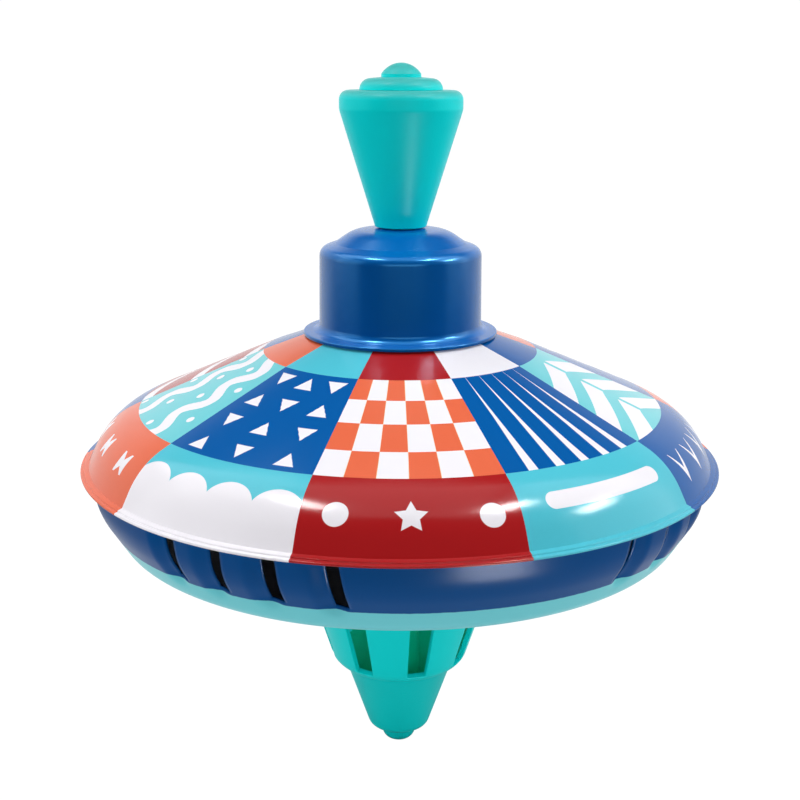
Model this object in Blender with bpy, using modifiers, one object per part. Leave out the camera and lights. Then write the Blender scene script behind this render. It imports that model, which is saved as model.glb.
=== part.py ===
"""Pump humming top: a tin top body that spins on a free-turning plastic foot.

Pushing the handle down drives a twisted steel strip through a drive nut. The nut's cone
grips a lined seat inside the neck and turns the body. Pulling the handle up lifts the nut
off the seat, so the body keeps spinning.

Model frame: metres, +Z up the spin axis, origin at the foot's tip on the floor.
Sizes below are millimetres and degrees until they meet a Blender call.
"""

import math

import bmesh
import bpy
from mathutils import Matrix, Vector

MM = 0.001

# Driving dimensions
RIM_RADIUS = 95.0            # outer lip of the hemmed rim
RIM_Z = 96.0                 # height of the rim plane over the floor
NECK_RADIUS = 23.9           # drum of the neck
GRIP_RADIUS = 17.8           # widest part of the handle
GRIP_FOOT_RADIUS = 7.4       # narrow lower end of the handle
SHEET = 0.6                  # tin sheet
GAP = 0.3                    # clearance between neighbouring pieces
STRIP_WIDTH = 5.0
STRIP_THICKNESS = 1.6
STRIP_LEAD = 36.0            # rise of the strip for one turn
STRIP_STEP = 1.2             # length of one facet along the strip
SLOT_CLEARANCE = 0.4         # nut slot to strip, on each side
PIVOT_RADIUS = 2.0
TUBE_INNER_RADIUS = 6.0
TUBE_WALL = 0.8
WINDOW_COUNT = 8             # windows around the foot's skirt
WINDOW_WIDTH = 6.4
FIRST_WINDOW = -75.0         # degrees about +Z, counted from +X
FOOT_WALL = 1.7
LOUVRE_PAIR_CENTRES = (-74.5, 105.5)
LOUVRE_OFFSETS = (25.5, 35.5, 45.5, 55.5)
LOUVRE_WIDTH = 3.7

# Heights along the axis
PLATEAU_Z = RIM_Z + 36.9     # flat top of the upper shell, under the neck flange
GRIP_BOTTOM_Z = 164.6
GRIP_PIN_Z = 178.0
STOP_PIN_Z = 69.5
STRIP_BOTTOM_Z = 67.6
STRIP_TOP_Z = 186.0
NUT_BOTTOM_Z = 138.6
NUT_TOP_Z = 147.0
SKIRT_TOP_Z = 54.6
HUB_Z = 52.0                 # flat middle of the lower shell
BUSH_BOTTOM_Z = 46.6
BUSH_TOP_Z = 62.0
GROOVE_Z = (62.9, 64.1)      # clip groove near the top of the pivot pin
LOUVRE_Z = (81.6, 94.0)
WINDOW_Z = (30.4, 52.0)

# Segments around turned parts
SHELL_SEGMENTS = 48
NECK_SEGMENTS = 36
FOOT_SEGMENTS = 40           # a multiple of the windows
HANDLE_SEGMENTS = 30
CLUTCH_SEGMENTS = 24
SMALL_SEGMENTS = 18
PIN_SEGMENTS = 12

TEAL = (0.0, 0.42, 0.40)
BLUE = (0.012, 0.10, 0.36)
RED = (0.45, 0.03, 0.03)
STEEL = (0.60, 0.60, 0.62)
BRASS = (0.72, 0.52, 0.22)
FELT = (0.30, 0.28, 0.26)
NATURAL_PLASTIC = (0.80, 0.79, 0.74)


def clear_scene():
    for obj in list(bpy.data.objects):
        bpy.data.objects.remove(obj, do_unlink=True)


def new_collection(name):
    collection = bpy.data.collections.new(name)
    bpy.context.scene.collection.children.link(collection)
    return collection


def new_material(name, colour, roughness, metallic=0.0):
    material = bpy.data.materials.new(name)
    material.use_nodes = True
    shader = material.node_tree.nodes["Principled BSDF"]
    shader.inputs["Base Color"].default_value = (*colour, 1.0)
    shader.inputs["Roughness"].default_value = roughness
    shader.inputs["Metallic"].default_value = metallic
    return material


def shifted_inward(profile, distance):
    """The profile moved to its right-hand side, which is inward for a downward outer side."""
    moved = []
    for i, point in enumerate(profile):
        before = Vector(profile[max(i - 1, 0)])
        after = Vector(profile[min(i + 1, len(profile) - 1)])
        along = (after - before).normalized()
        moved.append((point[0] + along.y * distance, point[1] - along.x * distance))
    return moved


def mesh_object(name, bm, collection, material=None):
    mesh = bpy.data.meshes.new(name)
    bm.to_mesh(mesh)
    bm.free()
    obj = bpy.data.objects.new(name, mesh)
    collection.objects.link(obj)
    if material is not None:
        mesh.materials.append(material)
        shade_round(mesh)
    return obj


def shade_round(mesh):
    mesh.shade_smooth()
    mesh.set_sharp_from_angle(angle=math.radians(35))


def turned(name, profile, segments, collection, material=None):
    """A solid of revolution about Z from a profile that runs down its outer side.

    A profile that starts and ends on the axis stays open there; any other is a closed loop.
    """
    bm = bmesh.new()
    verts = [bm.verts.new((r * MM, 0.0, z * MM)) for r, z in profile]
    for first, second in zip(verts, verts[1:]):
        bm.edges.new((first, second))
    if profile[0][0] > 0.0 and profile[-1][0] > 0.0:
        bm.edges.new((verts[-1], verts[0]))
    obj = mesh_object(name, bm, collection, material)
    screw = obj.modifiers.new("Turn", "SCREW")
    screw.axis = "Z"
    screw.angle = math.tau
    screw.steps = segments
    screw.render_steps = segments
    screw.use_merge_vertices = True
    screw.merge_threshold = 0.00001
    screw.use_smooth_shade = material is not None
    return obj


def ring(name, inner, outer, bottom, top, collection, material, segments=SMALL_SEGMENTS):
    profile = [(inner, top), (outer, top), (outer, bottom), (inner, bottom)]
    return turned(name, profile, segments, collection, material)


def cylinder(name, radius, length, centre, axis, collection, material=None,
             segments=SMALL_SEGMENTS):
    bm = bmesh.new()
    bmesh.ops.create_cone(bm, cap_ends=True, segments=segments, radius1=radius * MM,
                          radius2=radius * MM, depth=length * MM)
    obj = mesh_object(name, bm, collection, material)
    obj.location = Vector(centre) * MM
    obj.rotation_euler = Vector((0, 0, 1)).rotation_difference(Vector(axis)).to_euler()
    return obj


def box(name, size, centre, turn, collection):
    """A box whose long side X points away from the spin axis, turned about Z by degrees."""
    bm = bmesh.new()
    bmesh.ops.create_cube(bm, size=1.0)
    bmesh.ops.scale(bm, vec=Vector(size) * MM, verts=bm.verts)
    obj = mesh_object(name, bm, collection)
    turn_matrix = Matrix.Rotation(math.radians(turn), 4, "Z")
    obj.location = turn_matrix @ (Vector(centre) * MM)
    obj.rotation_euler = (0.0, 0.0, math.radians(turn))
    return obj


def strip_angle(z):
    """Turn of the twisted strip at height z, in radians; its faces look along Y at the pin."""
    return math.tau * (z - GRIP_PIN_Z) / STRIP_LEAD


def twisted_strip(name, width, thickness, bottom, top, collection, material=None):
    """A flat strip twisted about Z, with a line of vertices down the middle of each face."""
    bm = bmesh.new()
    bmesh.ops.create_cube(bm, size=1.0)
    bmesh.ops.scale(bm, vec=Vector((width, thickness, top - bottom)) * MM, verts=bm.verts)
    bmesh.ops.translate(bm, vec=(0.0, 0.0, (top + bottom) / 2 * MM), verts=bm.verts)
    layers = max(1, round((top - bottom) / STRIP_STEP))
    for direction, cuts in ((0, 1), (2, layers - 1)):
        edges = [edge for edge in bm.edges
                 if abs((edge.verts[0].co - edge.verts[1].co).normalized()[direction]) > 0.99]
        bmesh.ops.subdivide_edges(bm, edges=edges, cuts=cuts, use_grid_fill=True)
    for vert in bm.verts:
        vert.co = Matrix.Rotation(strip_angle(vert.co.z / MM), 3, "Z") @ vert.co
    return mesh_object(name, bm, collection, material)


def cut(target, cutter):
    cutter.hide_render = True
    cutter.display_type = "WIRE"
    boolean = target.modifiers.new("Cut " + cutter.name, "BOOLEAN")
    boolean.operation = "DIFFERENCE"
    boolean.solver = "EXACT"
    boolean.object = cutter


# --- Foot, the body that stays still on the floor ---

def foot_skirt_radius(z):
    """Outer radius of the foot's straight skirt at height z."""
    return 23.25 + 0.33 * (z - 37.8)


def add_foot(parts, cutters, material):
    top = (foot_skirt_radius(SKIRT_TOP_Z), SKIRT_TOP_Z)
    edge = [(21.4, 31.7), (20.8, 30.4), (20.0, 29.3), (18.9, 28.4), (16.6, 27.0)]
    nose = [(9.7, 7.2), (9.4, 6.4), (8.8, 5.8), (8.0, 5.3), (5.5, 4.2)]
    nub = [(5.0, 2.1), (4.4, 0.8), (3.2, 0.1), (2.5, 0.0)]
    boss = [(0.0, 14.0), (PIVOT_RADIUS + GAP, 14.0), (PIVOT_RADIUS + GAP, 45.0)]
    boss += [(6.0, 45.0), (6.4, 13.0)]
    inner = [(9.8, 13.0), (14.6, 27.6), (18.4, 30.1), (foot_skirt_radius(32.0) - FOOT_WALL, 32.0)]
    inner += [(top[0] - FOOT_WALL, SKIRT_TOP_Z)]
    foot = turned("foot", boss + inner + [top] + edge + nose + nub + [(0.0, 0.0)],
                  FOOT_SEGMENTS, parts, material)
    low, high = WINDOW_Z
    for i in range(WINDOW_COUNT):
        turn = FIRST_WINDOW + i * 360.0 / WINDOW_COUNT
        window = box("foot_window_%d" % i, (20.0, WINDOW_WIDTH, high - low),
                     (24.0, 0.0, (low + high) / 2), turn, cutters)
        cut(foot, window)


def add_pivot(parts, cutters, steel, brass):
    low, high = GROOVE_Z
    profile = [(0.0, 66.0), (1.5, 66.0), (PIVOT_RADIUS, 65.5), (PIVOT_RADIUS, high), (1.5, high),
               (1.5, low), (PIVOT_RADIUS, low), (PIVOT_RADIUS, 14.3), (0.0, 14.3)]
    turned("pivot_pin", profile, SMALL_SEGMENTS, parts, steel)
    ring("thrust_washer", PIVOT_RADIUS + 0.4, 6.0, 45.3, 46.3, parts, brass)
    ring("clip_washer", PIVOT_RADIUS + 0.4, 5.2, BUSH_TOP_Z + GAP, 62.8, parts, brass)
    clip = ring("retaining_clip", 1.5 + GAP, 4.0, 63.15, 63.8, parts, steel)
    mouth = box("clip_mouth", (6.0, 2.4, 3.0), (3.0, 0.0, 63.5), 40.0, cutters)
    cut(clip, mouth)


# --- Spinning body ---

def dome_outline():
    """Upper shell from the plateau under the neck to the crease above the hem."""
    plateau = [(9.5, PLATEAU_Z), (27.6, PLATEAU_Z)]
    slope = [(40.7, RIM_Z + 32.0), (60.0, RIM_Z + 23.7), (78.1, RIM_Z + 15.9)]
    knee = [(80.4, RIM_Z + 14.8), (83.4, RIM_Z + 13.0), (86.2, RIM_Z + 10.7), (88.5, RIM_Z + 8.0),
            (90.4, RIM_Z + 4.9)]
    return plateau + slope + knee + [(92.2, RIM_Z + 1.2)]


def add_upper_shell(parts, material):
    dome = dome_outline()
    hem = [(93.4, RIM_Z + 0.9), (94.5, RIM_Z + 0.5), (RIM_RADIUS, RIM_Z - 0.4),
           (94.6, RIM_Z - 1.3), (92.9, RIM_Z - 1.5)]
    fold = [(92.9, RIM_Z - 1.0), (94.1, RIM_Z - 0.9), (94.3, RIM_Z - 0.3), (93.9, RIM_Z + 0.2),
            (91.8, RIM_Z + 0.4)]
    inside = shifted_inward(dome, SHEET)[-2:0:-1]
    profile = dome + hem + fold + inside + [(9.5, PLATEAU_Z - SHEET)]
    turned("upper_shell", profile, SHELL_SEGMENTS, parts, material)


def bowl_outline():
    """Lower shell from under the rim, down the louvred wall, to the hub."""
    wall = [(91.9, RIM_Z - 1.2), (91.4, RIM_Z - 5.5), (90.2, RIM_Z - 10.1), (87.1, RIM_Z - 15.4)]
    heel = [(84.5, RIM_Z - 19.5), (83.0, RIM_Z - 21.3), (81.0, RIM_Z - 22.7), (76.0, RIM_Z - 24.3)]
    return wall + heel + [(26.0, RIM_Z - 40.0), (14.0, HUB_Z), (7.3, HUB_Z)]


def add_lower_shell(parts, cutters, material):
    bowl = bowl_outline()
    flange = [(91.5, RIM_Z - 0.1), (93.8, RIM_Z - 0.15), (93.8, RIM_Z - 0.6),
              (92.4, RIM_Z - 0.65)]
    inside = shifted_inward(bowl, SHEET)[-2:0:-1]
    profile = flange + bowl + [(7.3, HUB_Z + SHEET)] + inside
    shell = turned("lower_shell", profile, SHELL_SEGMENTS, parts, material)
    low, high = LOUVRE_Z
    for pair, centre in enumerate(LOUVRE_PAIR_CENTRES):
        for i, offset in enumerate(LOUVRE_OFFSETS):
            for side in (-1, 1):
                name = "louvre_%d_%d_%s" % (pair, i, "left" if side < 0 else "right")
                slot = box(name, (14.0, LOUVRE_WIDTH, high - low),
                           (89.0, 0.0, (low + high) / 2), centre + side * offset, cutters)
                cut(shell, slot)


def add_neck(parts, material):
    flange_bottom = PLATEAU_Z + GAP
    dome = [(5.6, 164.3), (11.4, 163.8), (14.7, 162.9), (16.2, 162.0), (19.3, 159.9)]
    shoulder = [(21.8, 159.0), (22.9, 158.4), (23.6, 157.4), (NECK_RADIUS - 0.1, 156.0)]
    foot_fillet = [(NECK_RADIUS + 0.1, 137.0), (24.5, 135.4), (25.6, 134.3)]
    flange = [(28.5, 134.1), (28.7, flange_bottom)]
    outside = dome + shoulder + foot_fillet
    inside = shifted_inward(outside, SHEET)[-2::-1]
    profile = outside + flange + [(23.9, flange_bottom)] + inside
    turned("neck_housing", profile, NECK_SEGMENTS, parts, material)


def add_rod_guide(parts, material):
    bore = 3.6
    profile = [(bore, 164.2), (5.3, 164.2), (5.3, 162.6), (9.0, 162.2), (9.0, 161.0),
               (5.3, 160.6), (5.3, 150.2), (bore, 150.2)]
    turned("rod_guide", profile, CLUTCH_SEGMENTS, parts, material)


def seat_cone():
    """Lower and upper end of the clutch seat's cone."""
    return Vector((8.4, 137.0)), Vector((15.6, 146.0))


def on_cone(share, lift):
    """A point at a share of the way up the seat's cone, lifted off its surface."""
    low, high = seat_cone()
    along = (high - low).normalized()
    point = low.lerp(high, share) + Vector((-along.y, along.x)) * lift
    return (point.x, point.y)


def add_clutch(parts, cutters, plastic, felt):
    low, high = seat_cone()
    profile = [tuple(high), (17.0, high.y), (17.0, 135.5), (22.8, 135.3), (22.8, 133.2),
               (9.2, 133.2), (9.2, 126.0), (7.1, 126.0), (7.1, 134.2), (3.6, 134.2),
               (3.6, low.y), tuple(low)]
    turned("clutch_seat", profile, CLUTCH_SEGMENTS, parts, plastic)
    lining = [on_cone(0.95, GAP + 0.9), on_cone(0.95, GAP), on_cone(0.12, GAP),
              on_cone(0.12, GAP + 0.9)]
    turned("clutch_lining", lining, CLUTCH_SEGMENTS, parts, felt)
    face_lift = 2 * GAP + 0.9
    lower_edge = Vector(on_cone(0.0, face_lift))
    slope = (high - low)
    nut_low = lower_edge.x + (NUT_BOTTOM_Z - lower_edge.y) * slope.x / slope.y
    nut_high = lower_edge.x + (NUT_TOP_Z - lower_edge.y) * slope.x / slope.y
    profile = [(0.0, NUT_TOP_Z + 2.0), (6.0, NUT_TOP_Z + 2.0), (6.0, NUT_TOP_Z),
               (nut_high, NUT_TOP_Z), (nut_low, NUT_BOTTOM_Z), (0.0, NUT_BOTTOM_Z)]
    nut = turned("drive_nut", profile, CLUTCH_SEGMENTS, parts, plastic)
    slot = twisted_strip("nut_slot", STRIP_WIDTH + 2 * SLOT_CLEARANCE,
                         STRIP_THICKNESS + 2 * SLOT_CLEARANCE,
                         NUT_BOTTOM_Z - 1.0, NUT_TOP_Z + 3.0, cutters)
    cut(nut, slot)
    ring("clutch_washer", 6.3, 12.0, NUT_TOP_Z + GAP, NUT_TOP_Z + 1.5, parts, plastic)


def add_hub(parts, cutters, plastic, steel):
    flange_top = HUB_Z - GAP
    profile = [(5.6, BUSH_TOP_Z), (5.6, 58.0), (7.0, 58.0), (7.0, flange_top),
               (12.0, flange_top), (12.0, 48.6), (6.5, 48.6), (6.5, BUSH_BOTTOM_Z),
               (PIVOT_RADIUS + GAP, BUSH_BOTTOM_Z), (PIVOT_RADIUS + GAP, BUSH_TOP_Z)]
    turned("pivot_bush", profile, SMALL_SEGMENTS, parts, plastic)
    ring("centre_tube", TUBE_INNER_RADIUS, TUBE_INNER_RADIUS + TUBE_WALL, 58.3, 133.9, parts,
         steel)
    nut_bottom = HUB_Z + SHEET + GAP
    nut_top = 57.6
    nut_middle = (0.0, 0.0, (nut_bottom + nut_top) / 2)
    hub_nut = cylinder("hub_nut", 11.0, nut_top - nut_bottom, nut_middle, (0, 0, 1), parts,
                       steel, 6)
    thread = cylinder("hub_nut_bore", 7.0 + GAP, 12.0, nut_middle, (0, 0, 1), cutters)
    cut(hub_nut, thread)


# --- Handle and its twisted rod ---

def add_grip(parts, cutters, material):
    top = RIM_Z + 107.4
    outer = [(15.2, top), (16.4, top - 0.4), (17.3, top - 1.3), (GRIP_RADIUS, top - 2.8),
             (GRIP_RADIUS, top - 5.6), (17.4, RIM_Z + 100.4),
             (GRIP_FOOT_RADIUS, GRIP_BOTTOM_Z + 0.5), (GRIP_FOOT_RADIUS - 0.4, GRIP_BOTTOM_Z)]
    bore = [(3.2, GRIP_BOTTOM_Z), (3.2, STRIP_TOP_Z + 1.0), (5.0, STRIP_TOP_Z + 1.0),
            (8.3, 195.0), (8.3, top)]
    grip = turned("handle_grip", outer + bore, HANDLE_SEGMENTS, parts, material)
    cut(grip, cylinder("grip_pin_hole", 1.0 + GAP, 15.0, (0, 0, GRIP_PIN_Z), (0, 1, 0), cutters,
                       None, PIN_SEGMENTS))


def add_cap(parts, material):
    disc = RIM_Z + 107.7
    outer = [(0.0, RIM_Z + 115.0), (2.2, RIM_Z + 114.7), (4.0, RIM_Z + 113.6),
             (5.2, RIM_Z + 112.0), (5.6, RIM_Z + 111.0), (9.4, RIM_Z + 110.6),
             (11.2, RIM_Z + 109.7), (11.95, RIM_Z + 108.4), (11.95, disc)]
    plug = [(8.0, disc), (8.0, 196.0), (6.4, 196.0), (6.4, 201.0), (0.0, 202.5)]
    turned("handle_cap", outer + plug, HANDLE_SEGMENTS, parts, material)


def add_rod(parts, cutters, steel):
    rod = twisted_strip("drive_rod", STRIP_WIDTH, STRIP_THICKNESS, STRIP_BOTTOM_Z, STRIP_TOP_Z,
                        parts, steel)
    cut(rod, cylinder("rod_top_hole", 1.0 + GAP, 8.0, (0, 0, GRIP_PIN_Z), (0, 1, 0), cutters,
                      None, PIN_SEGMENTS))
    cylinder("grip_pin", 1.0, 14.4, (0, 0, GRIP_PIN_Z), (0, 1, 0), parts, steel,
             PIN_SEGMENTS)
    angle = strip_angle(STOP_PIN_Z)
    through_strip = (-math.sin(angle), math.cos(angle), 0.0)
    cut(rod, cylinder("rod_stop_hole", 0.8 + GAP, 8.0, (0, 0, STOP_PIN_Z), through_strip, cutters,
                      None, PIN_SEGMENTS))
    cylinder("stop_pin", 0.8, 9.4, (0, 0, STOP_PIN_Z), through_strip, parts, steel,
             PIN_SEGMENTS)
    ring("stop_washer", 3.0, 5.2, STOP_PIN_Z + 1.1, STOP_PIN_Z + 2.3, parts, steel)


def main():
    clear_scene()
    parts = new_collection("humming_top")
    cutters = new_collection("cutters")
    teal = new_material("teal_plastic", TEAL, 0.38)
    upper = new_material("upper_shell_print", RED, 0.22)
    lower = new_material("lower_shell_print", BLUE, 0.25)
    neck = new_material("neck_paint", BLUE, 0.25)
    steel = new_material("bright_steel", STEEL, 0.3, 1.0)
    brass = new_material("brass", BRASS, 0.35, 1.0)
    felt = new_material("felt", FELT, 0.9)
    natural = new_material("natural_plastic", NATURAL_PLASTIC, 0.45)
    add_foot(parts, cutters, teal)
    add_pivot(parts, cutters, steel, brass)
    add_upper_shell(parts, upper)
    add_lower_shell(parts, cutters, lower)
    add_neck(parts, neck)
    add_rod_guide(parts, natural)
    add_clutch(parts, cutters, natural, felt)
    add_hub(parts, cutters, natural, steel)
    add_grip(parts, cutters, teal)
    add_cap(parts, teal)
    add_rod(parts, cutters, steel)


main()
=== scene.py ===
"""Looks of the pump humming top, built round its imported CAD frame.

The tin shells, neck, rod guide, handle, foot and drive rod are fine meshes that stand for their
CAD nodes. The other inner works keep their CAD meshes and get materials. Outlines are (radius,
height) in mm.
"""

import math

import bmesh
import bpy
from mathutils import Matrix, Vector

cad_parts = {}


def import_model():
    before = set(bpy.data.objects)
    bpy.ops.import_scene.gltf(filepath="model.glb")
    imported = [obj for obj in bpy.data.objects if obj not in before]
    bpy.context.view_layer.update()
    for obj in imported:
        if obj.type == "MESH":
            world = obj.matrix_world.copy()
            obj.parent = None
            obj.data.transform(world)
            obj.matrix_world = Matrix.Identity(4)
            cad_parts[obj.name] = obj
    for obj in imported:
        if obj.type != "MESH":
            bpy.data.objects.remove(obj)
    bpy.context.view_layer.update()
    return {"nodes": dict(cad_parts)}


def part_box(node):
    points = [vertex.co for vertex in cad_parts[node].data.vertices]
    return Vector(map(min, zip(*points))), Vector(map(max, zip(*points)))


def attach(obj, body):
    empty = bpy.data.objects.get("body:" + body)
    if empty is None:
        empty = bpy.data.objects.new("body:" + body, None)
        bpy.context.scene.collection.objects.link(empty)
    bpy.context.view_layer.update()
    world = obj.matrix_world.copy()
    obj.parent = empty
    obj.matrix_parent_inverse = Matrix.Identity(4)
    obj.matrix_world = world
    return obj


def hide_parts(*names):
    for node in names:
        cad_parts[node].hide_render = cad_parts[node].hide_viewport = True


MM = 0.001

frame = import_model()


def top_of(node):
    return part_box(node)[1].z / MM


def bottom_of(node):
    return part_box(node)[0].z / MM


def radius_of(node):
    low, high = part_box(node)
    return (high.x - low.x) / 2 / MM


# Driving sizes in mm, most of them read from the frame
RIM_RADIUS = radius_of("upper_shell")
PLATEAU_Z = top_of("upper_shell")
DOME_RISE = 36.9
RIM_Z = PLATEAU_Z - DOME_RISE
NECK_HOLE_RADIUS = 9.5
NECK_FLANGE_RADIUS = radius_of("neck_housing")
NECK_TOP = top_of("neck_housing")
NECK_BOTTOM = bottom_of("neck_housing")
GRIP_RADIUS = radius_of("handle_grip")
GRIP_TOP = top_of("handle_grip")
GRIP_BOTTOM = bottom_of("handle_grip")
CAP_RADIUS = radius_of("handle_cap")
CAP_TOP = top_of("handle_cap")
FOOT_RADIUS = radius_of("foot")
FOOT_TOP = top_of("foot")
HUB_Z = bottom_of("lower_shell")
SHEET = 0.6

# Print on the upper shell: ten sectors, three bands
SECTORS = 10
SECTOR_ANGLE = 360.0 / SECTORS
PRINT_TURN = 1.85                 # the chequered panel's middle, degrees from -Y towards +X
INNER_BAND_RADIUS = 40.7
OUTER_BAND_RADIUS = 77.57
BAND_TOP = 12.9                   # distances down the slope to the two band circles
BAND_BOTTOM = 52.9
CHEQUER_WIDTH = 6.0               # degrees
CHEQUER_SHIFT = 0.15              # degrees from the panel's middle to the nearest side, towards -X
PRINT_COLUMNS = 360
PRINT_GRAIN = 2600.0              # noise scale per metre

# Louvres in the lower shell, in mirrored pairs of groups. Each has the degrees from the middle
# of its pair to the slot's straight side and to its pressed side.
LOUVRE_CENTRES = (15.5, 195.5)
LOUVRES = ((24.0, 26.5), (34.5, 37.5), (44.5, 47.5), (54.0, 57.5))
LOUVRE_RAMP = 3.5                 # degrees of sheet pressed in beside a slot
LOUVRE_DEPTH = 1.8
LOUVRE_FADE_ABOVE = 1.6           # heights over which the pressed sheet comes back to the wall
LOUVRE_FADE_BELOW = 3.4
LOUVRE_LEAN = 1.3                 # degrees from a slot's top to its bottom
LOUVRE_TOP = RIM_Z - 1.6
LOUVRE_BOTTOM = RIM_Z - 14.4
PAINT_EDGE_Z = RIM_Z - 15.4       # blue above, light teal below
WALL_COLUMNS = 720

# Foot
WINDOWS = 8
COLUMNS_PER_WINDOW = 45
WINDOW_COLUMNS = 16
WINDOW_TURN = 15.0                # a window's middle, degrees from -Y towards +X
WINDOW_TOP = FOOT_TOP - 2.6
WINDOW_BOTTOM = FOOT_TOP - 24.2
NOSE_TOP = 27.0
FOOT_FLOOR = 13.0                 # height of the floor inside, round the boss
FOOT_WALL = 1.7

# Columns of faces round the other turned pieces
TURNED_COLUMNS = 192
CAP_COLUMNS = 144
GUIDE_COLUMNS = 96

# Colours, linear
BLUE = (0.001, 0.112, 0.410)
NAVY = (0.000, 0.078, 0.290)
NECK_BLUE = (0.000, 0.084, 0.340)
# Painted highlight: a brighter blue for the neck's faces that look up
NECK_LIT_TOP_BLUE = (0.000, 0.140, 0.520)
CORAL = (0.880, 0.165, 0.075)
RED = (0.440, 0.012, 0.014)
AQUA = (0.090, 0.600, 0.735)
PALE_AQUA = (0.170, 0.680, 0.750)
WHITE = (0.955, 0.930, 0.985)
OVERPRINT = (0.900, 0.620, 0.150)
TEAL = (0.000, 0.850, 0.850)
FOOT_TEAL = (0.000, 0.740, 0.730)
# Painted shading: a duller, paler teal for the handle's faces that look up
TEAL_TOP_SHADING = (0.060, 0.500, 0.480)
# Painted shade: a greener teal for the foot's inside, seen through its windows
TEAL_INSIDE_SHADE = (0.000, 0.800, 0.520)


# --- Shapes ---

def rounded(corners, step=8.0):
    """The outline through (radius, height) corners, where a third number is a corner's fillet.

    A fillet turns by no more than step degrees from one point to the next.
    """
    path = [Vector(corners[0][:2])]
    for before, corner, after in zip(corners, corners[1:], corners[2:]):
        point = Vector(corner[:2])
        if len(corner) < 3:
            path.append(point)
            continue
        to_before = Vector(before[:2]) - point
        to_after = Vector(after[:2]) - point
        half = to_before.angle(to_after) / 2
        room = min(room_beside(before) * to_before.length, room_beside(after) * to_after.length)
        reach = min(corner[2] / math.tan(half), room)
        path += fillet(point, to_before.normalized(), to_after.normalized(), half, reach, step)
    path.append(Vector(corners[-1][:2]))
    return [(point.x, point.y) for point in path]


def room_beside(neighbour):
    """The share of a side that a fillet may use, less when its other end has a fillet too."""
    return 0.49 if len(neighbour) > 2 else 0.98


def fillet(point, back, ahead, half, reach, step):
    """The arc that touches both sides of a corner at a distance reach from it."""
    centre = point + (back + ahead).normalized() * reach / math.cos(half)
    spoke = point + back * reach - centre
    turn = math.copysign(math.pi - 2 * half, ahead.cross(back))
    steps = max(2, math.ceil(abs(math.degrees(turn)) / step))
    arc = []
    for i in range(steps + 1):
        arc.append(centre + Matrix.Rotation(turn * i / steps, 2) @ spoke)
    return arc


def cap_arc(edge_radius, edge_z, apex_z):
    """A shallow dome from its apex on the axis to its edge."""
    steps = 12
    rise = apex_z - edge_z
    radius = (edge_radius ** 2 + rise ** 2) / (2 * rise)
    widest = math.asin(edge_radius / radius)
    points = []
    for i in range(steps + 1):
        angle = widest * i / steps
        points.append((radius * math.sin(angle), apex_z - radius * (1 - math.cos(angle))))
    return points


def shifted_inward(outline, distance):
    """The outline moved to its right-hand side, which is inward for a downward outer side."""
    moved = []
    for i, point in enumerate(outline):
        before = Vector(outline[max(i - 1, 0)])
        after = Vector(outline[min(i + 1, len(outline) - 1)])
        along = (after - before).normalized()
        moved.append((point[0] + along.y * distance, point[1] - along.x * distance))
    return moved


def degrees_of(place):
    """The angle of a place about Z, from -Y towards +X."""
    return math.degrees(math.atan2(place.x, -place.y))


def wrapped(degrees):
    """The same angle between -180 and 180."""
    return (degrees + 180.0) % 360.0 - 180.0


def spot(radius, degrees, z):
    """A point of the turned shapes, in metres; angles run from -Y towards +X."""
    angle = math.radians(degrees)
    return Vector((radius * math.sin(angle), -radius * math.cos(angle), z)) * MM


def revolve(outline, columns, start=0.0, loop=False, skip=lambda row, column: False):
    """A surface turned about Z from an outline that runs down its outer side, and its rings."""
    bm = bmesh.new()
    rings = []
    for radius, z in outline:
        if radius < 0.001:
            rings.append([bm.verts.new(spot(0.0, 0.0, z))] * columns)
            continue
        degrees = [start + 360.0 * i / columns for i in range(columns)]
        rings.append([bm.verts.new(spot(radius, d, z)) for d in degrees])
    pairs = list(zip(rings, rings[1:]))
    if loop:
        pairs.append((rings[-1], rings[0]))
    for row, (upper, lower) in enumerate(pairs):
        for i in range(columns):
            j = (i + 1) % columns
            corners = list(dict.fromkeys((upper[i], lower[i], lower[j], upper[j])))
            if len(corners) > 2 and not skip(row, i):
                bm.faces.new(corners)
    return bm, rings


def drop_loose(bm):
    for vert in [v for v in bm.verts if not v.link_faces]:
        bm.verts.remove(vert)


def finished_piece(name, bm, materials, sharp=30.0):
    """A smooth piece whose edges stay sharp where its faces turn by more than sharp degrees."""
    mesh = bpy.data.meshes.new(name)
    bm.to_mesh(mesh)
    bm.free()
    for material in materials:
        mesh.materials.append(material)
    mesh.shade_smooth()
    mesh.set_sharp_from_angle(angle=math.radians(sharp))
    piece = bpy.data.objects.new(name, mesh)
    bpy.context.scene.collection.objects.link(piece)
    return piece


def stand_in(piece, node, body):
    """Puts the piece on its body in place of a CAD node."""
    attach(piece, body)
    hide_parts(node)


# --- Shader arithmetic ---

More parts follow.
